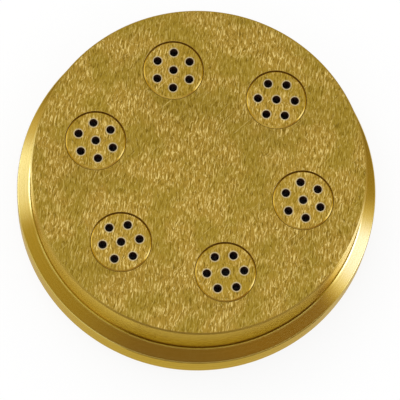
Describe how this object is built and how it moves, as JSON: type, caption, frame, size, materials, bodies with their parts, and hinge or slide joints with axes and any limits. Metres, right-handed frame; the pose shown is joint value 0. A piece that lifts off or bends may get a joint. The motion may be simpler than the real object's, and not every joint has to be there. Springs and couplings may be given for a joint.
{
  "type": "pasta extrusion die",
  "caption": "Turned brass pasta extrusion die: a flanged disc with a conical shoulder and a raised nose, and a ring of push-in inserts with strand holes for long round pasta.",
  "frame": {"origin": "centre of the flat inlet face that the die stands on", "axes": "+Z along the die's axis, from the inlet face to the outlet face; an insert lies on +X"},
  "size_m": [0.11, 0.11, 0.03],
  "materials": {
    "body_brass": "turned rim, fine brushed outlet face",
    "insert_brass": "fine brushed"
  },
  "bodies": {
    "root": {"die_body": "body_brass", "insert_1": "insert_brass", "insert_2": "insert_brass", "insert_3": "insert_brass", "insert_4": "insert_brass", "insert_5": "insert_brass", "insert_6": "insert_brass"}
  },
  "joints": []
}
